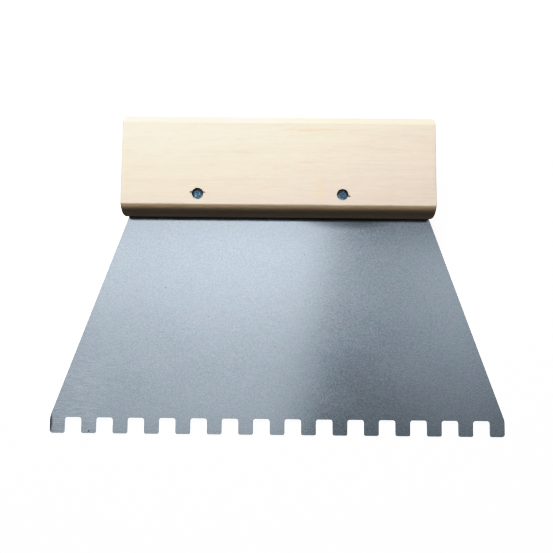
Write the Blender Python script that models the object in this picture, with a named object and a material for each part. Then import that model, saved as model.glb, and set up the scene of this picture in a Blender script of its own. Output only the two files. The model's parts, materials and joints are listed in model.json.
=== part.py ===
"""Notched trowel: a toothed steel blade held in the saw kerf of a wooden bar handle by two rivets.

It lies face up, at rest on its tooth tips and on the handle's lower back edge.
Each piece is drawn in the tool's own axes: X along the handle, Y from the tooth tips to the handle,
Z out of the front face, with Z = 0 in the middle of the blade. An empty then tilts the whole tool.
"""

import math

import bmesh
import bpy
from mathutils import Vector

MM = 0.001

# Blade. BLADE_REACH is what stands out of the handle, TANG_DEPTH is what is held inside it.
BLADE_WIDTH = 180 * MM
BLADE_WIDTH_AT_HANDLE = 122.4 * MM
BLADE_REACH = 86.2 * MM
BLADE_THICKNESS = 0.8 * MM
TANG_DEPTH = 15 * MM

# Teeth. The notches share the rest of the width equally.
TOOTH_COUNT = 15
TOOTH_WIDTH = 6 * MM
NOTCH_DEPTH = 6.15 * MM
TOOTH_TIP_RADIUS = 0.8 * MM
NOTCH_ROOT_RADIUS = 0.9 * MM
OUTER_TIP_RADIUS = 1.3 * MM
OUTER_SIDE_HEIGHT = 6.5 * MM
OUTER_SIDE_RADIUS = 8 * MM
TANG_CORNER_RADIUS = 1 * MM

# Handle. It sits a little to the left of the blade's middle, and its round-overs meet the faces at a
# crisp shoulder, ROUND_START off the face.
HANDLE_LENGTH = 123 * MM
HANDLE_OFFSET = -0.3 * MM
HANDLE_HEIGHT = 40.2 * MM
HANDLE_THICKNESS = 22 * MM
ROUND_RADIUS = 6.7 * MM
ROUND_START = math.radians(24)
ROUND_STEPS = 10

# Rivets, each a peened pin with a sunk head at both faces. The pair sits a little off centre.
RIVET_SPACING = 56.4 * MM
RIVET_PAIR_OFFSET = -3.6 * MM
RIVET_HEIGHT = 7.8 * MM
SHANK_RADIUS = 1.5 * MM
HEAD_RADIUS = 2.1 * MM
HEAD_THICKNESS = 0.9 * MM
HEAD_CROWN = 0.25 * MM
HEAD_SINK = 0.3 * MM
HEAD_RINGS = 4
ROUND_SEGMENTS = 32

# Edges that turn by more than this stay crisp: wider than any facet step, narrower than the shoulder.
SHARP_ANGLE = math.radians(12)

# Space left between touching pieces, and how far a cutter runs past the face that it opens.
GAP = 0.3 * MM
OVERCUT = 1 * MM
FILLET_STEPS = 4

RIVET_NAMES = ("rivet_left", "rivet_right")


def clear_scene():
    for old in list(bpy.data.objects):
        bpy.data.objects.remove(old, do_unlink=True)


def make_material(name, colour, metallic, roughness):
    material = bpy.data.materials.new(name)
    material.use_nodes = True
    shader = material.node_tree.nodes["Principled BSDF"]
    shader.inputs["Base Color"].default_value = (*colour, 1.0)
    shader.inputs["Metallic"].default_value = metallic
    shader.inputs["Roughness"].default_value = roughness
    return material


def rounded_outline(corners):
    """Turn corners (x, y, radius), counter-clockwise, into a flat outline with filleted corners."""
    points = []
    for i, (x, y, radius) in enumerate(corners):
        corner = Vector((x, y))
        to_last = (Vector(corners[i - 1][:2]) - corner).normalized()
        to_next = (Vector(corners[(i + 1) % len(corners)][:2]) - corner).normalized()
        half_angle = to_last.angle(to_next) / 2
        centre = corner + (to_last + to_next).normalized() * radius / math.sin(half_angle)
        start = corner + to_last * radius / math.tan(half_angle) - centre
        end = corner + to_next * radius / math.tan(half_angle) - centre
        for step in range(FILLET_STEPS + 1):
            points.append(centre + start.slerp(end, step / FILLET_STEPS).normalized() * radius)
    return points


def arc(centre_y, centre_z, start, end):
    """Points of a round-over in the handle's section, angles measured from +Z towards +Y."""
    angles = [start + (end - start) * step / ROUND_STEPS for step in range(ROUND_STEPS + 1)]
    return [
        (centre_y + ROUND_RADIUS * math.sin(a), centre_z + ROUND_RADIUS * math.cos(a)) for a in angles
    ]


def handle_section():
    """The bar's section in Y and Z, as one loop that runs up into the kerf from its lower face."""
    low = BLADE_REACH
    high = BLADE_REACH + HANDLE_HEIGHT
    centre_z = HANDLE_THICKNESS / 2 - ROUND_RADIUS * math.cos(ROUND_START)
    square = math.pi / 2
    kerf = BLADE_THICKNESS / 2 + GAP
    kerf_end = low + TANG_DEPTH + GAP
    loop = [(kerf_end, kerf), (low, kerf)]
    loop += arc(low + ROUND_RADIUS, centre_z, -square, -ROUND_START)
    loop += arc(high - ROUND_RADIUS, centre_z, ROUND_START, square)
    return loop + [(y, -z) for y, z in reversed(loop)]


def extruded(name, base, direction):
    """A solid whose base is the closed loop of points, pushed along the direction."""
    mesh = bmesh.new()
    face = mesh.faces.new([mesh.verts.new(point) for point in base])
    pushed = bmesh.ops.extrude_face_region(mesh, geom=[face])["geom"]
    moved = [part for part in pushed if isinstance(part, bmesh.types.BMVert)]
    bmesh.ops.translate(mesh, verts=moved, vec=direction)
    bmesh.ops.recalc_face_normals(mesh, faces=mesh.faces)
    return finished_object(name, mesh)


def turned(name, profile):
    """A solid of revolution about Z from (radius, z) points that run from bottom to top."""
    mesh = bmesh.new()
    turns = [2 * math.pi * i / ROUND_SEGMENTS for i in range(ROUND_SEGMENTS)]
    rings = [
        [mesh.verts.new((radius * math.cos(a), radius * math.sin(a), z)) for a in turns]
        for radius, z in profile
    ]
    for lower, upper in zip(rings, rings[1:]):
        for i in range(ROUND_SEGMENTS):
            j = (i + 1) % ROUND_SEGMENTS
            mesh.faces.new((lower[i], lower[j], upper[j], upper[i]))
    mesh.faces.new(reversed(rings[0]))
    mesh.faces.new(rings[-1])
    bmesh.ops.recalc_face_normals(mesh, faces=mesh.faces)
    return finished_object(name, mesh)


def finished_object(name, mesh):
    data = bpy.data.meshes.new(name)
    mesh.to_mesh(data)
    mesh.free()
    made = bpy.data.objects.new(name, data)
    bpy.context.scene.collection.objects.link(made)
    return made


def cut(target, cutter):
    modifier = target.modifiers.new("cut_" + cutter.name, "BOOLEAN")
    modifier.operation = "DIFFERENCE"
    modifier.solver = "EXACT"
    modifier.object = cutter


def hide_cutter(cutter):
    cutter.hide_render = True
    cutter.display_type = "WIRE"


def make_blade():
    """Flat plate: teeth from left to right, then up the right side and down the left."""
    pitch = (BLADE_WIDTH - TOOTH_WIDTH) / (TOOTH_COUNT - 1)
    corners = []
    for i in range(TOOTH_COUNT):
        left = -BLADE_WIDTH / 2 + i * pitch
        right = left + TOOTH_WIDTH
        if i > 0:
            corners.append((left, NOTCH_DEPTH, NOTCH_ROOT_RADIUS))
        corners.append((left, 0, OUTER_TIP_RADIUS if i == 0 else TOOTH_TIP_RADIUS))
        corners.append((right, 0, OUTER_TIP_RADIUS if i == TOOTH_COUNT - 1 else TOOTH_TIP_RADIUS))
        if i < TOOTH_COUNT - 1:
            corners.append((right, NOTCH_DEPTH, NOTCH_ROOT_RADIUS))
    taper = (BLADE_WIDTH - BLADE_WIDTH_AT_HANDLE) / 2 / (BLADE_REACH - OUTER_SIDE_HEIGHT)
    tang_half = BLADE_WIDTH_AT_HANDLE / 2 - taper * TANG_DEPTH
    tang_end = BLADE_REACH + TANG_DEPTH
    corners.append((BLADE_WIDTH / 2, OUTER_SIDE_HEIGHT, OUTER_SIDE_RADIUS))
    corners.append((tang_half, tang_end, TANG_CORNER_RADIUS))
    corners.append((-tang_half, tang_end, TANG_CORNER_RADIUS))
    corners.append((-BLADE_WIDTH / 2, OUTER_SIDE_HEIGHT, OUTER_SIDE_RADIUS))
    base = [(p.x, p.y, -BLADE_THICKNESS / 2) for p in rounded_outline(corners)]
    blade = extruded("blade", base, (0, 0, BLADE_THICKNESS))
    blade.data.materials.append(make_material("blade_steel", (0.42, 0.45, 0.48), 1.0, 0.38))
    return blade


def make_handle():
    base = [(HANDLE_OFFSET - HANDLE_LENGTH / 2, y, z) for y, z in handle_section()]
    handle = extruded("handle", base, (HANDLE_LENGTH, 0, 0))
    handle.data.materials.append(make_material("pale_wood", (0.82, 0.74, 0.59), 0.0, 0.62))
    handle.data.shade_smooth()
    handle.data.set_sharp_from_angle(angle=SHARP_ANGLE)
    return handle


def head_profile(seat):
    """The upper head of a rivet: its flat underside at height seat, then its low crown."""
    rim = seat + HEAD_THICKNESS - HEAD_CROWN
    profile = [(HEAD_RADIUS, seat)]
    for ring in range(HEAD_RINGS):
        share = 1 - ring / HEAD_RINGS
        profile.append((HEAD_RADIUS * share, rim + HEAD_CROWN * (1 - share * share)))
    return profile


def make_rivet(name, material):
    """A pin through the bar, with the same head at the front and at the back."""
    seat = HANDLE_THICKNESS / 2 - HEAD_SINK - HEAD_THICKNESS
    front = [(SHANK_RADIUS, seat)] + head_profile(seat)
    back = [(radius, -z) for radius, z in reversed(front)]
    rivet = turned(name, back + front)
    rivet.data.materials.append(material)
    rivet.data.shade_smooth()
    rivet.data.set_sharp_from_angle(angle=SHARP_ANGLE)
    return rivet


def make_rivet_cutter(name):
    """The hole for one rivet, stepped out at both faces to take the heads."""
    face = HANDLE_THICKNESS / 2
    hole = SHANK_RADIUS + GAP
    recess = HEAD_RADIUS + GAP
    floor = face - HEAD_SINK - HEAD_THICKNESS - GAP
    front = [(hole, floor), (recess, floor), (recess, face + OVERCUT)]
    back = [(radius, -z) for radius, z in reversed(front)]
    cutter = turned(name, back + front)
    hide_cutter(cutter)
    return cutter


def resting_place():
    """Tilt and shift of the tool: tips and back shoulder on the ground, box centred on the origin."""
    back_shoulder = BLADE_REACH + ROUND_RADIUS * (1 - math.sin(ROUND_START))
    drop = (HANDLE_THICKNESS - BLADE_THICKNESS) / 2
    tilt = math.atan2(drop, back_shoulder)
    blade_edge = [(0, BLADE_THICKNESS / 2), (0, -BLADE_THICKNESS / 2)]
    outline = handle_section() + blade_edge
    ys = [y * math.cos(tilt) - z * math.sin(tilt) for y, z in outline]
    zs = [y * math.sin(tilt) + z * math.cos(tilt) for y, z in outline]
    return tilt, (0, -(min(ys) + max(ys)) / 2, -min(zs))


def main():
    clear_scene()
    blade = make_blade()
    handle = make_handle()
    rivet_steel = make_material("rivet_steel", (0.14, 0.2, 0.27), 1.0, 0.35)
    pieces = [blade, handle]
    for name, side in zip(RIVET_NAMES, (-1, 1)):
        place = (RIVET_PAIR_OFFSET + side * RIVET_SPACING / 2, BLADE_REACH + RIVET_HEIGHT, 0)
        rivet = make_rivet(name, rivet_steel)
        cutter = make_rivet_cutter("cutter_" + name)
        cut(blade, cutter)
        cut(handle, cutter)
        for placed in (rivet, cutter):
            placed.location = place
            pieces.append(placed)
    tool = bpy.data.objects.new("tool", None)
    bpy.context.scene.collection.objects.link(tool)
    tilt, shift = resting_place()
    tool.rotation_euler = (tilt, 0, 0)
    tool.location = shift
    for piece in pieces:
        piece.parent = tool


main()
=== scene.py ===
"""Looks of the notched trowel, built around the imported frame.

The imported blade, handle and rivets give every place and overall size, and a finer piece of the
same size stands for each. A piece is drawn in the tool's own axes, with X along the handle, Y from
the tooth tips to the handle and Z out of the front face, and is then carried into the row frame.
"""

import json
import math
import random

import bmesh
import bpy
from mathutils import Euler, Matrix, Vector, noise


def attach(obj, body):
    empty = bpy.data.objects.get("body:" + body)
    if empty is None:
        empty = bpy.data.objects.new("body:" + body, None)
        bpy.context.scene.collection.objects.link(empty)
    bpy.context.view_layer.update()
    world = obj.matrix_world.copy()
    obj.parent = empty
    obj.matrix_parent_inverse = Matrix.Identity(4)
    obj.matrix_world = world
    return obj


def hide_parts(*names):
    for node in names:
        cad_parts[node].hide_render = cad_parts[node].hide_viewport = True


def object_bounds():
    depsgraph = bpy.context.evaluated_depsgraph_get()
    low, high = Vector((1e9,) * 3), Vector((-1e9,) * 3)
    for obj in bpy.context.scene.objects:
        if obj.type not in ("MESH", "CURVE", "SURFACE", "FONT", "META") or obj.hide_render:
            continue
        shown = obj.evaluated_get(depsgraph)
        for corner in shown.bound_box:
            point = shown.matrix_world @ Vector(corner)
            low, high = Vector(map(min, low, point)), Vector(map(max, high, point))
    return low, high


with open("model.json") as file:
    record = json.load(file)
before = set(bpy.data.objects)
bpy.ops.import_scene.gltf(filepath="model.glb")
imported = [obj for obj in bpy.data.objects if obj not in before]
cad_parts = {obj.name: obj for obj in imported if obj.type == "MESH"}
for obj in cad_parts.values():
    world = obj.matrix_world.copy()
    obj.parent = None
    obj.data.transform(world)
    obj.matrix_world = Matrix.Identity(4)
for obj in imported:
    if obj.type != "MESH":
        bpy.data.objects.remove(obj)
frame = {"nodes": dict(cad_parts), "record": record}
CAD_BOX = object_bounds()

MM = 0.001
MM_PER_METRE = 1000.0

# Blade edge. The front edge is rolled over by the shears, and the back edge breaks off almost square.
TOOTH_WIDTH = 6 * MM
NOTCH_DEPTH = 6.15 * MM
TOOTH_TIP_RADIUS = 0.8 * MM
NOTCH_ROOT_RADIUS = 0.9 * MM
OUTER_TIP_RADIUS = 1.3 * MM
OUTER_SIDE_HEIGHT = 6.5 * MM
LEFT_SIDE_RADIUS = 8 * MM
RIGHT_SIDE_RADIUS = 3 * MM
TANG_CORNER_RADIUS = 1 * MM
WIDTH_AT_HANDLE = 122.4 * MM
CORNER_STEPS = 10
ROLL_WIDTH = 0.1 * MM
ROLL_DEPTH = 0.1 * MM
ROLL_STEPS = 5
BREAK_WIDTH = 0.05 * MM
BREAK_DEPTH = 0.06 * MM

# Handle section.
ROUND_START = math.radians(24)
ROUND_RADIUS = 6.7 * MM
ROUND_STEPS = 22
KERF_HALF = 0.7 * MM
KERF_GAP = 0.3 * MM
MOUTH_DEPTH = 1.3 * MM
MOUTH_HALF = 3.6 * MM
SUPPORT = 0.16 * MM
FACE_STRIPS = 12

# Handle length. Both ends are eased, and the planed shoulders wander a little.
END_RADIUS = 0.45 * MM
END_STEPS = 4
STATION_STEP = 1.2 * MM
LONG_WANDER = 0.13 * MM
SHORT_WANDER = 0.05 * MM
LONG_WAVE = 17 * MM
SHORT_WAVE = 5 * MM

# Rivets and the pits they sit in.
HEAD_RADIUS = 2.02 * MM
HEAD_THICKNESS = 0.9 * MM
HEAD_SINK = 0.3 * MM
HEAD_CROWN = 0.34 * MM
HEAD_RINGS = 16
HEAD_ROLL = 0.16 * MM
SHANK_RADIUS = 1.5 * MM
HOLE_RADIUS = 1.8 * MM
PIT_RADIUS = 2.17 * MM
PIT_WOBBLE = 0.07 * MM
PIT_LIFT = 0.12 * MM
PIT_LUMPS = 1.6
PIT_FRONT_SEED = 3
PIT_BACK_SEED = 7
RIVET_SEED = 11
TURN_SEGMENTS = 56
HAMMER_BLOWS = 9
BLOW_REACH = (0.15, 0.8)
BLOW_TILT = (0.04, 0.17)
BLOW_DROP_MM = (0.0, 0.05)
INNER_RING = 0.03
TEAR_SEGMENTS = 16
TEAR_RINGS = 12
OVERCUT = 1 * MM
WELD = 0.002 * MM

# Shading.
SMOOTH_BELOW = math.radians(32)
ALMOST_SQUARE = 0.99999

# Camera, in tool axes.
CAMERA_PLACE = (-0.255 * MM, 46.587 * MM, 217.667 * MM)
CAMERA_TURN = (4.275, 0.1, 0.554)
CAMERA_LENS = 35.15
CAMERA_SENSOR = 36.0
CAMERA_CLIP = 5 * MM


def make_tool_axes():
    """The tool's axes in the row frame, from the record's grip and working edge."""
    mounts = {mount["name"]: mount for mount in frame["record"]["mounts"]}
    edge = mounts["working_edge"]
    out = Vector(mounts["grip_front"]["axis"]).normalized()
    up = -Vector(edge["axis"]).normalized()
    turn = Matrix((up.cross(out), up, out)).transposed()
    return Matrix.Translation(Vector(edge["pos_m"])) @ turn.to_4x4()


TOOL = make_tool_axes()


def tool_box(node):
    """Lowest and highest corner of a CAD node, in tool axes."""
    back = TOOL.inverted()
    corners = [back @ vertex.co for vertex in frame["nodes"][node].data.vertices]
    lowest = Vector([min(corner[i] for corner in corners) for i in range(3)])
    highest = Vector([max(corner[i] for corner in corners) for i in range(3)])
    return lowest, highest


BLADE_LOW, BLADE_HIGH = tool_box("blade")
HANDLE_LOW, HANDLE_HIGH = tool_box("handle")
RIVETS = ("rivet_left", "rivet_right")
RIVET_CENTRES = {name: sum(tool_box(name), Vector()) / 2 for name in RIVETS}
FACE = HANDLE_HIGH.z
TOOTH_COUNT = len(frame["record"]["physics"]["openings"]) + 1

# Torn fibres: the rivet each is placed from (None for the tool's origin), its place and half-size.
TEARS = (
    ("rivet_left", (0, 0.62 * MM, FACE), (3.1 * MM, 0.8 * MM, 0.6 * MM)),
    ("rivet_right", (1.78 * MM, -0.6 * MM, FACE), (1.8 * MM, 0.47 * MM, 0.43 * MM)),
    (None, (18.3 * MM, 89.75 * MM, FACE), (1.1 * MM, 0.25 * MM, 0.3 * MM)),
    ("rivet_left", (0.3 * MM, -0.4 * MM, -FACE), (3.2 * MM, 0.3 * MM, 0.35 * MM)),
)


# Shapes


def new_object(name, mesh):
    """An object in the scene from a bmesh drawn in tool axes."""
    data = bpy.data.meshes.new(name)
    mesh.to_mesh(data)
    mesh.free()
    made = bpy.data.objects.new(name, data)
    bpy.context.scene.collection.objects.link(made)
    return made


def carve(target, cutters):
    """Cut the cutters out of the target's mesh, and remove them."""
    for cutter in cutters:
        modifier = target.modifiers.new(cutter.name, "BOOLEAN")
        modifier.operation = "DIFFERENCE"
        modifier.solver = "EXACT"
        modifier.object = cutter
    graph = bpy.context.evaluated_depsgraph_get()
    carved = bpy.data.meshes.new_from_object(target.evaluated_get(graph))
    target.modifiers.clear()
    mesh = bmesh.new()
    mesh.from_mesh(carved)
    bmesh.ops.remove_doubles(mesh, verts=mesh.verts, dist=WELD)
    bmesh.ops.dissolve_degenerate(mesh, dist=WELD, edges=mesh.edges)
    mesh.to_mesh(carved)
    mesh.free()
    target.data = carved
    for cutter in cutters:
        bpy.data.objects.remove(cutter, do_unlink=True)


def borders_of_flats(data):
    """Edges where a face that is square to Z meets one that isn't, so that the flats shade as flats."""
    square = [abs(face.normal.z) > ALMOST_SQUARE for face in data.polygons]
    sides = {}
    for face in data.polygons:
        for key in face.edge_keys:
            sides.setdefault(key, []).append(square[face.index])
    return [edge.index for edge in data.edges if len(set(sides[edge.key])) > 1]


def finish_piece(piece, material, node):
    """Carry a drawn piece into the row frame, shade it, and tie it to the frame."""
    flat_borders = borders_of_flats(piece.data) if node == "blade" else []
    piece.data.transform(TOOL)
    piece.data.materials.clear()
    piece.data.materials.append(material)
    piece.data.shade_smooth()
    piece.data.set_sharp_from_angle(angle=SMOOTH_BELOW)
    for edge in flat_borders:
        piece.data.edges[edge].use_edge_sharp = True
    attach(piece, "root")
    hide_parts(node)


def rounded_outline(corners):
    """Corners (x, y, radius), counter-clockwise, as points and outward directions of the outline."""
    outline = []
    for i, (x, y, radius) in enumerate(corners):
        corner = Vector((x, y))
        to_last = (Vector(corners[i - 1][:2]) - corner).normalized()
        to_next = (Vector(corners[(i + 1) % len(corners)][:2]) - corner).normalized()
        half_angle = to_last.angle(to_next) / 2
        centre = corner + (to_last + to_next).normalized() * radius / math.sin(half_angle)
        start = corner + to_last * radius / math.tan(half_angle) - centre
        end = corner + to_next * radius / math.tan(half_angle) - centre
        outward = 1 if to_next.cross(to_last) > 0 else -1
        for step in range(CORNER_STEPS + 1):
            spoke = start.slerp(end, step / CORNER_STEPS).normalized()
            outline.append((centre + spoke * radius, spoke * outward))
    return outline


def blade_corners():
    """The plate's outline: teeth from left to right, then up the right side and down the left."""
    width = BLADE_HIGH.x - BLADE_LOW.x
    pitch = (width - TOOTH_WIDTH) / (TOOTH_COUNT - 1)
    last = TOOTH_COUNT - 1
    corners = []
    for i in range(TOOTH_COUNT):
        left = BLADE_LOW.x + i * pitch
        right = left + TOOTH_WIDTH
        if i > 0:
            corners.append((left, NOTCH_DEPTH, NOTCH_ROOT_RADIUS))
        corners.append((left, 0, OUTER_TIP_RADIUS if i == 0 else TOOTH_TIP_RADIUS))
        corners.append((right, 0, OUTER_TIP_RADIUS if i == last else TOOTH_TIP_RADIUS))
        if i < last:
            corners.append((right, NOTCH_DEPTH, NOTCH_ROOT_RADIUS))
    side = BLADE_HIGH.x
    slope = (side - WIDTH_AT_HANDLE / 2) / (HANDLE_LOW.y - OUTER_SIDE_HEIGHT)
    tang = WIDTH_AT_HANDLE / 2 - slope * (BLADE_HIGH.y - HANDLE_LOW.y)
    corners.append((side, OUTER_SIDE_HEIGHT, RIGHT_SIDE_RADIUS))
    corners.append((tang, BLADE_HIGH.y, TANG_CORNER_RADIUS))
    corners.append((-tang, BLADE_HIGH.y, TANG_CORNER_RADIUS))
    corners.append((-side, OUTER_SIDE_HEIGHT, LEFT_SIDE_RADIUS))
    return corners


def lofted(rings, mesh):
    """Join closed rings of vertices with quads, and close both ends."""
    for lower, upper in zip(rings, rings[1:]):
        for i in range(len(lower)):
            j = (i + 1) % len(lower)
            mesh.faces.new((lower[i], lower[j], upper[j], upper[i]))
    mesh.faces.new(rings[0])
    mesh.faces.new(rings[-1])
    bmesh.ops.recalc_face_normals(mesh, faces=mesh.faces)


def turns():
    """Angles of the corners of a round piece."""
    return [math.tau * i / TURN_SEGMENTS for i in range(TURN_SEGMENTS)]


def turned(name, profile, centre):
    """A solid of revolution about Z from (radius, z) points, standing at centre."""
    mesh = bmesh.new()
    rings = [
        [mesh.verts.new((centre.x + r * math.cos(a), centre.y + r * math.sin(a), z)) for a in turns()]
        for r, z in profile
    ]
    lofted(rings, mesh)
    return new_object(name, mesh)


def make_blade(material):
    """The sheet: its outline swept through the rolled front edge and the broken back edge."""
    outline = rounded_outline(blade_corners())
    top = BLADE_HIGH.z
    profile = []
    for step in range(ROLL_STEPS + 1):
        a = math.pi / 2 * step / ROLL_STEPS
        profile.append((ROLL_WIDTH * (1 - math.sin(a)), top - ROLL_DEPTH * (1 - math.cos(a))))
    profile.append((0.0, BLADE_LOW.z + BREAK_DEPTH))
    profile.append((BREAK_WIDTH, BLADE_LOW.z))
    mesh = bmesh.new()
    rings = [
        [mesh.verts.new((*(point - outward * inset), z)) for point, outward in outline]
        for inset, z in profile
    ]
    lofted(rings, mesh)
    blade = new_object("blade_plate", mesh)
    holes = [
        turned("hole", [(HOLE_RADIUS, -OVERCUT), (HOLE_RADIUS, OVERCUT)], centre)
        for centre in RIVET_CENTRES.values()
    ]
    carve(blade, holes)
    finish_piece(blade, material, "blade")


def arc(centre_y, start, end):
    """Points of a round-over as (y, z, how far it wanders), angles measured from +Z towards +Y."""
    centre_z = FACE - ROUND_RADIUS * math.cos(ROUND_START)
    points = []
    for step in range(ROUND_STEPS + 1):
        a = start + (end - start) * step / ROUND_STEPS
        y = centre_y + ROUND_RADIUS * math.sin(a)
        z = centre_z + ROUND_RADIUS * math.cos(a)
        points.append((y, z, math.cos(a) / math.cos(ROUND_START)))
    return points


def handle_section():
    """The bar's section as (y, z, wander) points, one loop from the kerf's end and back to it."""
    low = HANDLE_LOW.y
    high = HANDLE_HIGH.y
    square = math.pi / 2
    kerf_end = BLADE_HIGH.y + KERF_GAP
    lower_arc = arc(low + ROUND_RADIUS, -square, -ROUND_START)
    upper_arc = arc(high - ROUND_RADIUS, ROUND_START, square)
    arc_foot = lower_arc[0][1]
    half = [(kerf_end, KERF_HALF, 0), (low + MOUTH_DEPTH, KERF_HALF, 0)]
    half += [(low, MOUTH_HALF, 0), (low, arc_foot - SUPPORT, 0)]
    half += lower_arc
    face_start = lower_arc[-1][0] + SUPPORT
    face_end = upper_arc[0][0] - SUPPORT
    for strip in range(FACE_STRIPS + 1):
        edge = 1 if strip in (0, FACE_STRIPS) else 0
        half.append((face_start + (face_end - face_start) * strip / FACE_STRIPS, FACE, edge))
    half += upper_arc
    half.append((high, arc_foot - SUPPORT, 0))
    return half + [(y, -z, wander) for y, z, wander in reversed(half)]


def loop_normals(loop):
    """Outward directions at the points of a closed (y, z, ...) loop."""
    normals = []
    count = len(loop)
    area = sum(loop[i - 1][0] * loop[i][1] - loop[i][0] * loop[i - 1][1] for i in range(count))
    sign = 1 if area > 0 else -1
    for i in range(count):
        here = Vector(loop[i][:2])
        before = (here - Vector(loop[i - 1][:2])).normalized()
        after = (Vector(loop[(i + 1) % count][:2]) - here).normalized()
        along = before + after
        normals.append(Vector((along.y, -along.x)).normalized() * sign)
    return normals


def wander_at(x, seed):
    """How far a planed shoulder strays across the grain at x."""
    slow = noise.noise(Vector((x / LONG_WAVE, seed, 0)))
    fast = noise.noise(Vector((x / SHORT_WAVE, seed, 5)))
    return slow * LONG_WANDER + fast * SHORT_WANDER


def handle_stations():
    """Places along the bar as (x, inset): the insets ease the two ends."""
    end = []
    for step in range(END_STEPS + 1):
        a = math.pi / 2 * step / END_STEPS
        end.append((END_RADIUS * (1 - math.cos(a)), END_RADIUS * (1 - math.sin(a))))
    start = HANDLE_LOW.x + END_RADIUS + SUPPORT
    length = HANDLE_HIGH.x - END_RADIUS - SUPPORT - start
    count = round(length / STATION_STEP)
    left = [(HANDLE_LOW.x + x, inset) for x, inset in end]
    middle = [(start + length * i / count, 0.0) for i in range(count + 1)]
    return left + middle + [(HANDLE_HIGH.x - x, inset) for x, inset in reversed(end)]


def spindle(name, centre, size):
    """A pointed cutter that leaves a torn fibre: long in X, thin in Y, shallow in Z."""
    mesh = bmesh.new()
    bmesh.ops.create_uvsphere(mesh, u_segments=TEAR_SEGMENTS, v_segments=TEAR_RINGS, radius=1.0)
    for vertex in mesh.verts:
        x, y, z = vertex.co
        taper = max(0.0, 1 - x**2)
        vertex.co = centre + Vector((x * size[0], y * taper * size[1], z * taper * size[2]))
    return new_object(name, mesh)


def pit_cutter(name, centre, side, seed):
    """The pit round one rivet head, a little ragged, as a cutter through one face of the bar."""
    mesh = bmesh.new()
    floor = FACE - HEAD_SINK - HEAD_THICKNESS - KERF_GAP
    rings = []
    for z in (floor * side, (FACE + OVERCUT) * side):
        ring = []
        for a in turns():
            ragged = noise.noise(Vector((math.cos(a) * PIT_LUMPS, math.sin(a) * PIT_LUMPS, seed)))
            r = PIT_RADIUS + PIT_WOBBLE * ragged
            x = centre.x + r * math.cos(a)
            y = centre.y + PIT_LIFT + r * math.sin(a)
            ring.append(mesh.verts.new((x, y, z)))
        rings.append(ring)
    lofted(rings, mesh)
    return new_object(name, mesh)


def make_handle(material):
    """The planed bar, with the kerf in its section, and the holes, pits and torn fibres cut out."""
    section = handle_section()
    normals = loop_normals(section)
    mesh = bmesh.new()
    rings = []
    middle = (HANDLE_LOW.y + HANDLE_HIGH.y) / 2
    for x, inset in handle_stations():
        ring = []
        for (y, z, wander), outward in zip(section, normals):
            seed = (1 if y < middle else 2) + (4 if z < 0 else 0)
            stray = wander * wander_at(x, seed)
            ring.append(mesh.verts.new((x, y + stray - outward.x * inset, z - outward.y * inset)))
        rings.append(ring)
    lofted(rings, mesh)
    handle = new_object("handle_bar", mesh)
    cutters = []
    for seed, (name, centre) in enumerate(RIVET_CENTRES.items()):
        hole = [(HOLE_RADIUS, -FACE), (HOLE_RADIUS, FACE)]
        cutters.append(turned("hole_" + name, hole, centre))
        cutters.append(pit_cutter("pit_front_" + name, centre, 1, PIT_FRONT_SEED + seed))
        cutters.append(pit_cutter("pit_back_" + name, centre, -1, PIT_BACK_SEED + seed))
    for i, (rivet, place, size) in enumerate(TEARS):
        start = RIVET_CENTRES.get(rivet, Vector())
        cutters.append(spindle(f"tear_{i}", start + Vector(place), size))
    carve(handle, cutters)
    finish_piece(handle, material, "handle")


def head_height(x, y, blows):
    """Height of a hammered head over its seat at (x, y): a low dome, flattened by each blow."""
    r = math.hypot(x, y) / HEAD_RADIUS
    height = HEAD_THICKNESS - HEAD_CROWN * r * r
    for tilt_x, tilt_y, level in blows:
        height = min(height, level + tilt_x * x + tilt_y * y)
    roll = max(0.0, (r * HEAD_RADIUS - (HEAD_RADIUS - HEAD_ROLL)) / HEAD_ROLL)
    return height - HEAD_ROLL * (1 - math.sqrt(max(0.0, 1 - roll * roll)))


def hammer_blows(dice):
    """Flats that hammer blows leave on one head, as (slope in X, slope in Y, height at the middle)."""
    blows = []
    for _ in range(HAMMER_BLOWS):
        a = dice.uniform(0, math.tau)
        reach = dice.uniform(*BLOW_REACH) * HEAD_RADIUS
        tilt = dice.uniform(*BLOW_TILT)
        drop = dice.uniform(*BLOW_DROP_MM) * MM
        level = HEAD_THICKNESS - HEAD_CROWN * (reach / HEAD_RADIUS) ** 2 - drop + tilt * reach
        blows.append((-tilt * math.cos(a), -tilt * math.sin(a), level))
    return blows


def head_points(centre, side, blows):
    """Rings of points from the shank at one face, out round the head and in over its top."""
    seat = FACE - HEAD_SINK - HEAD_THICKNESS
    rings = []
    for r in (SHANK_RADIUS, HEAD_RADIUS):
        rings.append([(r * math.cos(a), r * math.sin(a), 0.0) for a in turns()])
    for ring in range(HEAD_RINGS):
        r = HEAD_RADIUS * (1 - (ring / HEAD_RINGS) ** 2 * (1 - INNER_RING))
        flat = [(r * math.cos(a), r * math.sin(a)) for a in turns()]
        rings.append([(x, y, head_height(x, y, blows)) for x, y in flat])
    return [[(centre.x + x, centre.y + y, (seat + h) * side) for x, y, h in ring] for ring in rings]


def make_rivet(name, material, seed):
    """A pin with a hammered head at each face."""
    dice = random.Random(seed)
    centre = RIVET_CENTRES[name]
    front = head_points(centre, 1, hammer_blows(dice))
    back = head_points(centre, -1, hammer_blows(dice))
    mesh = bmesh.new()
    rings = [[mesh.verts.new(point) for point in ring] for ring in list(reversed(back)) + front]
    lofted(rings, mesh)
    rivet = new_object(name + "_hammered", mesh)
    finish_piece(rivet, material, name)


# Materials. Places and sizes are in mm, in tool axes.

WHITE = (1.0, 1.0, 1.0)

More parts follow.
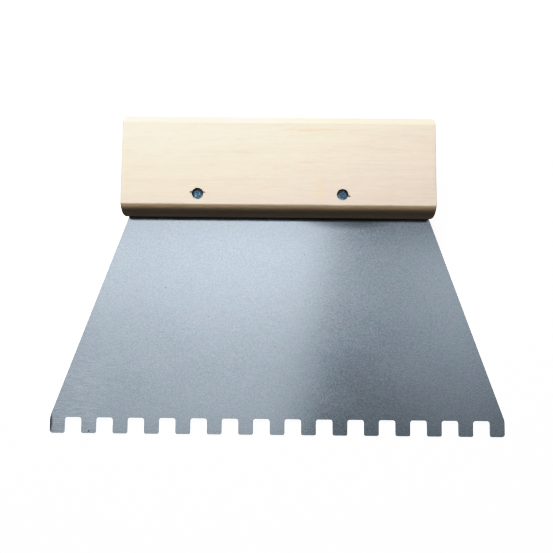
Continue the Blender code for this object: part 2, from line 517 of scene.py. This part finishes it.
# Wood.
PITH = (0, 42, -88)
RING_SPACING = 3.1
WOOD_PALE = (0.825, 0.738, 0.645)
WOOD_DARK = (0.735, 0.664, 0.567)
WOOD_BLUSH = (1.0, 0.984, 0.968)
PORE_BROWN = (0.56, 0.44, 0.3)
END_PALE = (0.86, 0.83, 0.78)
END_DARK = (0.7, 0.64, 0.56)
IRON_STAIN = (0.3, 0.27, 0.23)
STAIN_SIZE = (3.1, 3.0, 60)
# Painted shadow in the torn fibres.
TEAR_SHADOW = (0.07, 0.065, 0.06)
# Painted tint of the warm shade that falls on the lower round-over.
LOW_ROUND_SHADE_TINT = (0.94, 0.85, 0.73)
HIGH_ROUND_TINT = (0.94, 0.89, 0.83)
ROUND_TINT_EDGE = (3.9, 3.5)
# Painted shade, near-black, for the shadowed mouth of the kerf under the bar.
KERF_MOUTH_SHADE = (0.015, 0.012, 0.01)
WOOD_BUMP = 0.03 * MM

# Resin streaks and marks: centre, half-size, colour and strength. The last three are on the back
# and the top.
WOOD_MARKS = (
    ((12.5, 119.8, 11), (16, 0.75, 3), (0.86, 0.58, 0.41), 0.62),
    ((10.3, 106.9, 11), (5.2, 0.6, 3), (0.86, 0.6, 0.45), 0.45),
    ((-4.5, 96.9, 11), (11, 0.55, 3), (0.84, 0.6, 0.47), 0.4),
    ((15.9, 95.6, 11), (2.0, 6.4, 3), (0.84, 0.69, 0.46), 0.5),
    ((56.0, 104.8, 11), (6.5, 1.6, 3), (0.87, 0.68, 0.54), 0.2),
    ((38.0, 95.0, 11), (10, 0.8, 3), (0.84, 0.66, 0.52), 0.18),
    ((-14.5, 110.6, 11), (4.6, 0.7, 3), (0.6, 0.54, 0.44), 0.3),
    ((-13.0, 109.2, 11), (5.5, 1.6, 3), (0.72, 0.65, 0.54), 0.25),
    ((-20.0, 104.0, -11), (20, 0.7, 3), (0.88, 0.68, 0.47), 0.5),
    ((33.0, 112.0, -11), (13, 0.9, 3), (0.88, 0.7, 0.5), 0.4),
    ((26.0, 122.5, 9), (18, 0.8, 4), (0.86, 0.66, 0.48), 0.35),
)

# Painted shadow in the ends of the torn fibres: the rivet, the place from its middle, and the
# half-size.
TEAR_SHADOW_SPOTS = (
    ("rivet_left", (-2.45, 0.62), (0.95, 0.62, 30)),
    ("rivet_left", (2.45, 0.62), (0.95, 0.62, 30)),
    ("rivet_right", (2.5, -0.55), (1.15, 0.42, 30)),
)

# Sheet steel. The marks are a burr on the outer left tooth, painted shade on the blade below the
# handle and a nick in the tooth beside the burr.
STEEL_DARK = (0.48, 0.545, 0.62)
STEEL_PALE = (0.75, 0.84, 0.955)
STEEL_GREENER = (0.993, 1.012, 0.99)
STEEL_REDDER = (1.0, 0.995, 1.0)
SCUFF_PALE = (0.8, 0.84, 0.88)
SCUFF_TURN = math.radians(24)
SPOT_DARK = (0.3, 0.32, 0.36)
SHEET_BUMP = 0.006 * MM
SHEET_MARKS_AND_SHADE = (
    ((BLADE_LOW.x * MM_PER_METRE - 0.2, 4.2, 0), (1.7, 6.0, 3), (0.07, 0.075, 0.085), 0.85),
    # Painted shade on the blade below the handle.
    ((27, 86, 0), (24, 4.6, 3), (0.2, 0.22, 0.25), 0.62),
    ((-74.4, 0.9, 0), (0.5, 0.55, 3), (0.1, 0.1, 0.11), 0.8),
)

# Rivet steel.
RIVET_DARK = (0.16, 0.29, 0.42)
RIVET_PALE = (0.5, 0.72, 0.93)
RIVET_GRIT = (0.12, 0.18, 0.26)
RIVET_BUMP = 0.012 * MM


class Look:
    """A Principled material, and short calls that build its nodes. Places are in mm, in tool axes."""

    def __init__(self, name):
        self.material = bpy.data.materials.new(name)
        self.material.use_nodes = True
        self.tree = self.material.node_tree
        self.shader = self.tree.nodes["Principled BSDF"]
        back = TOOL.inverted()
        place = self.add("Mapping", vector_type="POINT")
        self.put(place, "Vector", self.add("TexCoord").outputs["Object"])
        self.put(place, "Scale", (MM_PER_METRE,) * 3)
        self.put(place, "Rotation", back.to_euler())
        self.put(place, "Location", back.to_translation() * MM_PER_METRE)
        self.place = place.outputs["Vector"]

    def add(self, kind, **settings):
        node = self.tree.nodes.new("ShaderNode" + kind)
        for key, value in settings.items():
            setattr(node, key, value)
        return node

    def put(self, node, socket, value):
        if isinstance(value, bpy.types.NodeSocket):
            self.tree.links.new(value, node.inputs[socket])
        else:
            node.inputs[socket].default_value = value

    def math(self, operation, a, b=0.0):
        node = self.add("Math", operation=operation)
        self.put(node, 0, a)
        self.put(node, 1, b)
        return node.outputs[0]

    def times(self, a, b):
        return self.math("MULTIPLY", a, b)

    def plus(self, a, b):
        return self.math("ADD", a, b)

    def vector(self, operation, a, b=(0, 0, 0), output="Vector"):
        node = self.add("VectorMath", operation=operation)
        self.put(node, 0, a)
        self.put(node, 1, b)
        return node.outputs[output]

    def axes(self, vector):
        node = self.add("SeparateXYZ")
        self.put(node, 0, vector)
        return node.outputs[0], node.outputs[1], node.outputs[2]

    def noise(self, place, size, detail=2.0, roughness=0.5):
        """Noise from about 0.2 to 0.8, with features of this size in mm along each axis."""
        node = self.add("TexNoise")
        self.put(node, "Vector", self.vector("DIVIDE", place, size))
        self.put(node, "Scale", 1.0)
        self.put(node, "Detail", detail)
        self.put(node, "Roughness", roughness)
        return node.outputs[0]

    def ease(self, value, start, end, low=0.0, high=1.0):
        """Value from start to end, smoothly taken to low to high."""
        node = self.add("MapRange", interpolation_type="SMOOTHSTEP")
        for socket, number in zip(range(5), (value, start, end, low, high)):
            self.put(node, socket, number)
        return node.outputs[0]

    def spread(self, value, low=0.0, high=1.0):
        """The middle of a noise, taken to low to high."""
        return self.ease(value, 0.3, 0.7, low, high)

    def mix(self, share, a, b, how="MIX"):
        node = self.add("Mix", data_type="RGBA", blend_type=how)
        self.put(node, 0, share)
        self.put(node, 6, a if isinstance(a, bpy.types.NodeSocket) else (*a, 1.0))
        self.put(node, 7, b if isinstance(b, bpy.types.NodeSocket) else (*b, 1.0))
        return node.outputs[2]

    def tinted(self, share, colour, tint):
        """The colour, multiplied by the tint where share is 1."""
        return self.mix(share, colour, self.mix(1.0, colour, tint, "MULTIPLY"))

    def spot(self, centre, half_size, place=None):
        """1 at centre, falling to 0 at half_size from it."""
        off = self.vector("SUBTRACT", place or self.place, centre)
        reach = self.vector("LENGTH", self.vector("DIVIDE", off, half_size), output="Value")
        return self.ease(reach, 1.0, 0.35)

    def bump(self, height, distance):
        node = self.add("Bump")
        self.put(node, "Height", height)
        self.put(node, "Distance", distance)
        self.put(node, "Strength", 1.0)
        return node.outputs[0]


def make_wood():
    """Bare planed softwood: growth rings, grain and pores, then its marks, stains and grime."""
    look = Look("planed_pale_wood")
    bend = look.noise(look.place, (110, 30, 30), 1)
    lift = look.times(look.math("SUBTRACT", bend, 0.5), 7.0)
    shift = look.add("CombineXYZ")
    look.put(shift, 1, lift)
    look.put(shift, 2, lift)
    grain = look.vector("ADD", look.place, shift.outputs[0])

    # Growth rings about a pith well below the bar, almost flat where they cross the front face.
    _, y, z = look.axes(grain)
    flat = look.add("CombineXYZ")
    look.put(flat, 1, y)
    look.put(flat, 2, z)
    radius = look.vector("DISTANCE", flat.outputs[0], PITH, "Value")
    ring = look.math("FRACT", look.math("DIVIDE", radius, RING_SPACING))
    late = look.times(look.ease(ring, 0.35, 0.92), look.ease(ring, 1.0, 0.94))

    broad = look.noise(grain, (60, 1.9, 1.9), 3)
    fine = look.noise(grain, (12, 0.75, 0.75), 3, 0.6)
    hair = look.noise(grain, (3.5, 0.34, 0.34), 2, 0.6)
    pores = look.ease(look.noise(grain, (3.2, 0.13, 0.13), 1), 0.66, 0.74)
    blotch = look.noise(look.place, (26, 9, 9), 2)

    tone = look.times(look.spread(broad), 0.22)
    tone = look.plus(tone, look.times(look.spread(fine), 0.36))
    tone = look.plus(tone, look.times(look.spread(hair), 0.3))
    tone = look.plus(tone, look.times(late, 0.12))
    colour = look.mix(tone, WOOD_PALE, WOOD_DARK)
    pink = look.mix(look.ease(blotch, 0.5, 0.72), WHITE, WOOD_BLUSH)
    colour = look.mix(1.0, colour, pink, "MULTIPLY")
    colour = look.mix(look.times(pores, 0.28), colour, PORE_BROWN)

    # Marks wobble a little across the grain, so that none ends in a clean oval.
    wavy = look.noise(look.place, (9, 2, 6), 2)
    sway = look.noise(look.place, (7, 40, 40), 3)
    shift = look.add("CombineXYZ")
    look.put(shift, 1, look.times(look.math("SUBTRACT", sway, 0.5), 1.6))
    wobbly = look.vector("ADD", look.place, shift.outputs[0])
    for centre, half_size, tint, share in WOOD_MARKS:
        mask = look.times(look.spot(centre, half_size, wobbly), share)
        mask = look.times(mask, look.ease(wavy, 0.25, 0.6, 0.35, 1.0))
        colour = look.mix(mask, colour, tint)

    # End grain drinks in dirt, and iron from the rivets greys the wood about them.
    facing = look.axes(look.vector("ABSOLUTE", look.add("NewGeometry").outputs["Normal"]))[0]
    ends = look.ease(facing, 0.5, 0.95)
    speck = look.noise(look.place, (3, 0.3, 0.3), 2)
    end_tone = look.mix(look.ease(speck, 0.35, 0.65), END_PALE, END_DARK)
    colour = look.tinted(look.times(ends, 0.8), colour, end_tone)
    for centre in RIVET_CENTRES.values():
        middle = centre * MM_PER_METRE
        stain = look.spot((middle.x, middle.y + 0.2, 0), STAIN_SIZE)
        stain = look.times(stain, look.ease(speck, 0.2, 0.7, 0.4, 0.75))
        colour = look.mix(stain, colour, IRON_STAIN)
    # Painted shadow darkens the ends of the torn fibres, where they dip into the wood.
    for rivet, (x, y), half_size in TEAR_SHADOW_SPOTS:
        middle = RIVET_CENTRES[rivet] * MM_PER_METRE
        tear_shadow = look.spot((middle.x + x, middle.y + y, 0), half_size)
        colour = look.mix(look.times(tear_shadow, 0.85), colour, TEAR_SHADOW)

    # Painted shade tints the lower round-over warmer and blackens the mouth of the kerf.
    # The upper round-over is tinted a little yellower.
    _, own_y, own_z = look.axes(look.place)
    low_edge = HANDLE_LOW.y * MM_PER_METRE
    high_edge = HANDLE_HIGH.y * MM_PER_METRE
    shaded_low_round = look.ease(own_y, *(low_edge + inset for inset in ROUND_TINT_EDGE))
    high_round = look.ease(own_y, *(high_edge - inset for inset in ROUND_TINT_EDGE))
    # The lower round-over's tint is painted shade colour.
    colour = look.tinted(shaded_low_round, colour, LOW_ROUND_SHADE_TINT)
    colour = look.tinted(high_round, colour, HIGH_ROUND_TINT)
    # Painted shade: the mouth of the kerf is darkened almost to black where shadow falls between bar
    # and blade.
    near_blade = look.ease(look.math("ABSOLUTE", own_z), 4.8, 3.2)
    mouth_shade_mask = look.times(near_blade, look.ease(own_y, low_edge + 4, low_edge + 2))
    colour = look.mix(look.times(mouth_shade_mask, 0.93), colour, KERF_MOUTH_SHADE)

    look.put(look.shader, "Base Color", colour)
    rough = look.plus(look.spread(fine, 0.56, 0.68), look.times(ends, 0.12))
    look.put(look.shader, "Roughness", rough)
    height = look.plus(fine, look.times(hair, 0.5))
    height = look.math("SUBTRACT", height, look.times(pores, 0.8))
    look.put(look.shader, "Normal", look.bump(height, WOOD_BUMP))
    look.put(look.shader, "Specular IOR Level", 0.35)
    return look.material


def make_blade_steel():
    """Satin rolled sheet: speckle over a faint cloud, with worn streaks near its left end."""
    look = Look("mottled_sheet_steel")
    speckle = look.noise(look.place, (0.62, 0.52, 0.62), 3, 0.7)
    dust = look.noise(look.place, (0.36, 0.3, 0.36), 2)
    rolled = look.noise(look.place, (4.5, 0.42, 2), 2)
    cloud = look.noise(look.place, (24, 17, 20), 3)
    tint = look.noise(look.place, (9, 7, 9), 3)
    scuff_place = look.add("Mapping", vector_type="POINT")
    look.put(scuff_place, "Vector", look.place)
    look.put(scuff_place, "Rotation", (0, 0, SCUFF_TURN))
    scuffs = look.ease(look.noise(scuff_place.outputs[0], (26, 0.22, 3), 1), 0.71, 0.77)
    spots = look.ease(look.noise(look.place, (1.6, 1.1, 2), 2, 0.6), 0.73, 0.79)

    x, y, _ = look.axes(look.place)
    worn = look.times(look.ease(x, -60, -82), look.ease(y, 40, 18))
    strength = look.plus(look.times(worn, 0.34), 0.05)
    streaks = look.times(look.ease(rolled, 0.36, 0.64), strength)
    tone = look.times(look.ease(speckle, 0.34, 0.66), 0.46)
    tone = look.plus(tone, look.times(look.ease(dust, 0.34, 0.66), 0.26))
    tone = look.plus(tone, streaks)
    tone = look.plus(tone, look.times(look.spread(cloud), 0.12))
    colour = look.mix(tone, STEEL_DARK, STEEL_PALE)
    hue = look.mix(look.ease(tint, 0.38, 0.62), STEEL_GREENER, STEEL_REDDER)
    colour = look.mix(1.0, colour, hue, "MULTIPLY")
    colour = look.mix(look.times(scuffs, 0.16), colour, SCUFF_PALE)
    colour = look.mix(look.times(spots, 0.35), colour, SPOT_DARK)
    # The second of these marks is painted shade below the handle; the others are real marks.
    for centre, half_size, shade, share in SHEET_MARKS_AND_SHADE:
        mark_or_shade = look.spot(centre, half_size)
        colour = look.mix(look.times(mark_or_shade, share), colour, shade)
    look.put(look.shader, "Base Color", colour)
    look.put(look.shader, "Metallic", 1.0)
    rough = look.plus(look.spread(cloud, 0.15, 0.18), look.spread(speckle, 0.0, 0.05))
    look.put(look.shader, "Roughness", look.plus(rough, look.times(spots, 0.2)))
    height = look.plus(speckle, look.times(rolled, 0.6))
    look.put(look.shader, "Normal", look.bump(height, SHEET_BUMP))
    return look.material


def make_rivet_steel():
    """Blued steel, patchy from the hammer."""
    look = Look("blued_rivet_steel")
    patches = look.noise(look.place, (0.55, 0.55, 0.55), 2, 0.6)
    grit = look.noise(look.place, (0.16, 0.16, 0.16), 2)
    colour = look.mix(look.ease(patches, 0.36, 0.64), RIVET_DARK, RIVET_PALE)
    colour = look.mix(look.times(look.ease(grit, 0.5, 0.72), 0.4), colour, RIVET_GRIT)
    look.put(look.shader, "Base Color", colour)
    look.put(look.shader, "Metallic", 1.0)
    look.put(look.shader, "Roughness", look.spread(patches, 0.45, 0.32))
    look.put(look.shader, "Normal", look.bump(grit, RIVET_BUMP))
    return look.material


# Stage, lights and camera

FLOOR_RADIUS = 4.0
FLOOR_SEGMENTS = 96
FLOOR_GLOW = 1.05
FLOOR_DIFFUSE = 0.45
BOUNCE_DIFFUSE = 0.1
BOUNCE_GLOW = (0.02, 0.2)
BOUNCE_EDGE = (-30 * MM, 90 * MM)
STRIP_FRONT = (-70 * MM, -66 * MM)
STRIP_BACK = (-53 * MM, -56 * MM)
KEY_ELEVATION = math.radians(50)
KEY_AZIMUTH = math.radians(-13)
KEY_DISTANCE = 0.42
KEY_SIZE = 0.12
KEY_POWER = 2.25
KEY_COLOUR = (1.0, 0.99, 0.975)
SKY_COLOUR = (1.0, 0.86, 0.72, 1.0)
SKY_EDGE = (0.0, 0.8)
SKY_GLOW = (0.07, 0.16)

# The panel over the blade. Its glow is laid out in mm on the blade, from the point below the camera.
PANEL_SCALE = 8.0
PANEL_WIDTH = 1.66
PANEL_DEPTH = 0.86
PANEL_MIDDLE = 22 * MM
LEFT_ALONG_Y = (-27, 33, 0.65, 1.08)
LEFT_ALONG_X = (-70, -10, 0.95, 1.04)
RIGHT_ALONG_Y = (-62, 40, 0.26, 0.62)
RIGHT_ALONG_X = (30, 75, 0.82, 1.09)
RIGHT_NEAR_HANDLE = (38, 31, 0.45, 1.0)
DIVIDE_SLANT = 0.15
DIVIDE_EDGE = (13.5, 19.5)

# The ring of light that reflections see from the sides.
WALL_RADIUS = 1.6
WALL_SEGMENTS = 64
WALL_LOW = 0.08
WALL_HIGH = 2.0
WALL_GLOW = (0.2, 0.6)

# How bright light comes out on the picture: a soft toe, a straight middle and a short shoulder.
TONE_WHITE = 2.0
TONE_POINTS = (
    (0.05, 0.022),
    (0.1, 0.052),
    (0.2, 0.148),
    (0.35, 0.325),
    (0.5, 0.49),
    (0.7, 0.695),
    (0.88, 0.885),
    (1.03, 0.945),
    (1.16, 0.978),
    (1.4, 0.995),
)


def two_faced(tree, seen, felt, output):
    """Show one shader to the camera, and light the object with another."""
    path = tree.nodes.new("ShaderNodeLightPath")
    either = tree.nodes.new("ShaderNodeMixShader")
    tree.links.new(path.outputs["Is Camera Ray"], either.inputs[0])
    tree.links.new(felt, either.inputs[1])
    tree.links.new(seen, either.inputs[2])
    tree.links.new(either.outputs[0], tree.nodes[output].inputs["Surface"])


def make_floor():
    """A pale floor. The light it throws on the object is dim in front, but for a strip by the teeth."""
    mesh = bmesh.new()
    bmesh.ops.create_circle(mesh, cap_ends=True, segments=FLOOR_SEGMENTS, radius=FLOOR_RADIUS)
    floor = new_object("floor", mesh)
    look = Look("floor")
    felt = look.add("BsdfPrincipled")
    for shader, grey in ((look.shader, FLOOR_DIFFUSE), (felt, BOUNCE_DIFFUSE)):
        look.put(shader, "Base Color", (grey, grey, grey, 1.0))
        look.put(shader, "Roughness", 1.0)
        look.put(shader, "Specular IOR Level", 0.0)
        look.put(shader, "Emission Color", (*WHITE, 1.0))
    look.put(look.shader, "Emission Strength", FLOOR_GLOW)
    y = look.axes(look.add("TexCoord").outputs["Object"])[1]
    under_teeth = look.times(look.ease(y, *STRIP_FRONT), look.ease(y, *STRIP_BACK))
    bounce = look.plus(look.ease(y, *BOUNCE_EDGE, *BOUNCE_GLOW), under_teeth)
    look.put(felt, "Emission Strength", bounce)
    two_faced(look.tree, look.shader.outputs[0], felt.outputs[0], "Material Output")
    floor.data.materials.append(look.material)


def glow_only(look, strength):
    """Turn a look's material into pure light."""
    look.tree.nodes.remove(look.shader)
    glow = look.add("Emission")
    look.put(glow, "Strength", strength)
    look.put(look.tree.nodes["Material Output"], "Surface", glow.outputs[0])


def make_panel():
    """A soft panel over the blade, bright over its left and dim over its right."""
    centre = Vector(CAMERA_PLACE)
    look = Look("panel")
    middle = centre * MM_PER_METRE
    off = look.vector("SUBTRACT", look.place, (middle.x, middle.y, 0))
    x, y, _ = look.axes(look.vector("DIVIDE", off, (PANEL_SCALE,) * 3))
    left = look.times(look.ease(y, *LEFT_ALONG_Y), look.ease(x, *LEFT_ALONG_X))
    right = look.times(look.ease(y, *RIGHT_ALONG_Y), look.ease(x, *RIGHT_ALONG_X))
    right = look.times(right, look.ease(y, *RIGHT_NEAR_HANDLE))
    slanted = look.math("SUBTRACT", x, look.times(y, DIVIDE_SLANT))
    blend = look.add("Mix", data_type="FLOAT")
    look.put(blend, 0, look.ease(slanted, *DIVIDE_EDGE))
    look.put(blend, 2, left)
    look.put(blend, 3, right)
    glow_only(look, blend.outputs[0])
    reach = (PANEL_SCALE - 1) * centre.z
    mesh = bmesh.new()
    bmesh.ops.create_grid(mesh, x_segments=1, y_segments=1, size=0.5)
    for vertex in mesh.verts:
        vertex.co = Vector((vertex.co.x * PANEL_WIDTH, PANEL_MIDDLE + vertex.co.y * PANEL_DEPTH, reach))
    panel = new_object("panel", mesh)
    panel.data.transform(TOOL)
    panel.data.materials.append(look.material)
    panel.visible_camera = False
    panel.visible_diffuse = False


def make_wall():
    """A ring of soft light around the object, seen only in its reflections."""
    mesh = bmesh.new()
    ring = []
    for i in range(WALL_SEGMENTS):
        turn = math.tau * i / WALL_SEGMENTS
        x = WALL_RADIUS * math.cos(turn)
        y = WALL_RADIUS * math.sin(turn)
        ring.append((mesh.verts.new((x, y, WALL_LOW)), mesh.verts.new((x, y, WALL_HIGH))))
    for here, there in zip(ring, ring[1:] + ring[:1]):
        mesh.faces.new((here[0], there[0], there[1], here[1]))
    wall = new_object("wall", mesh)
    look = Look("wall")
    y = look.axes(look.add("TexCoord").outputs["Object"])[1]
    glow_only(look, look.ease(y, -WALL_RADIUS, WALL_RADIUS, *WALL_GLOW))
    wall.data.materials.append(look.material)
    wall.visible_camera = False
    wall.visible_diffuse = False
    wall.visible_shadow = False


def aim(light, place, target):
    """Put a light at place, facing target."""
    light.location = place
    light.rotation_mode = "QUATERNION"
    light.rotation_quaternion = (target - place).to_track_quat("-Z", "Y")


def make_lights():
    """One key light, behind the tool and high, that no reflection shows."""
    target = (CAD_BOX[0] + CAD_BOX[1]) / 2
    key = bpy.data.lights.new("key", "AREA")
    key.shape = "SQUARE"
    key.size = KEY_SIZE
    key.energy = KEY_POWER
    key.color = KEY_COLOUR
    lamp = bpy.data.objects.new("key", key)
    bpy.context.scene.collection.objects.link(lamp)
    lamp.visible_camera = False
    lamp.visible_glossy = False
    level = math.cos(KEY_ELEVATION)
    way = (math.sin(KEY_AZIMUTH) * level, math.cos(KEY_AZIMUTH) * level, math.sin(KEY_ELEVATION))
    aim(lamp, target + Vector(way) * KEY_DISTANCE, target)


def make_world():
    """Pale to the camera. As light it is bright behind the object and dim in front of it."""
    world = bpy.data.worlds.new("world")
    bpy.context.scene.world = world
    world.use_nodes = True
    tree = world.node_tree
    sky = tree.nodes["Background"]
    sky.inputs["Color"].default_value = SKY_COLOUR
    split = tree.nodes.new("ShaderNodeSeparateXYZ")
    tree.links.new(tree.nodes.new("ShaderNodeTexCoord").outputs["Generated"], split.inputs[0])
    ease = tree.nodes.new("ShaderNodeMapRange")
    ease.interpolation_type = "SMOOTHSTEP"
    tree.links.new(split.outputs["Y"], ease.inputs[0])
    for socket, number in zip(range(1, 5), (*SKY_EDGE, *SKY_GLOW)):
        ease.inputs[socket].default_value = number
    tree.links.new(ease.outputs[0], sky.inputs["Strength"])
    seen = tree.nodes.new("ShaderNodeBackground")
    seen.inputs["Color"].default_value = (*WHITE, 1.0)
    two_faced(tree, seen.outputs[0], sky.outputs[0], "World Output")


def make_camera():
    """A camera over the blade, looking straight down on it."""
    data = bpy.data.cameras.new("camera")
    data.lens = CAMERA_LENS
    data.sensor_width = CAMERA_SENSOR
    data.clip_start = CAMERA_CLIP
    camera = bpy.data.objects.new("camera", data)
    bpy.context.scene.collection.objects.link(camera)
    turn = Euler([math.radians(a) for a in CAMERA_TURN]).to_matrix().to_4x4()
    camera.matrix_world = TOOL @ Matrix.Translation(Vector(CAMERA_PLACE)) @ turn
    bpy.context.scene.camera = camera


def set_tone():
    """Give the picture the tone curve of TONE_POINTS."""
    view = bpy.context.scene.view_settings
    view.view_transform = "Standard"
    view.use_curve_mapping = True
    view.curve_mapping.white_level = (TONE_WHITE,) * 3
    curve = view.curve_mapping.curves[3]
    for light, shown in TONE_POINTS:
        curve.points.new(light / TONE_WHITE, shown)
    view.curve_mapping.update()


make_blade(make_blade_steel())
make_handle(make_wood())
rivet_steel = make_rivet_steel()
for rivet_seed, rivet_name in enumerate(RIVETS):
    make_rivet(rivet_name, rivet_steel, RIVET_SEED + rivet_seed)
make_floor()
make_panel()
make_wall()
make_lights()
make_world()
make_camera()
set_tone()
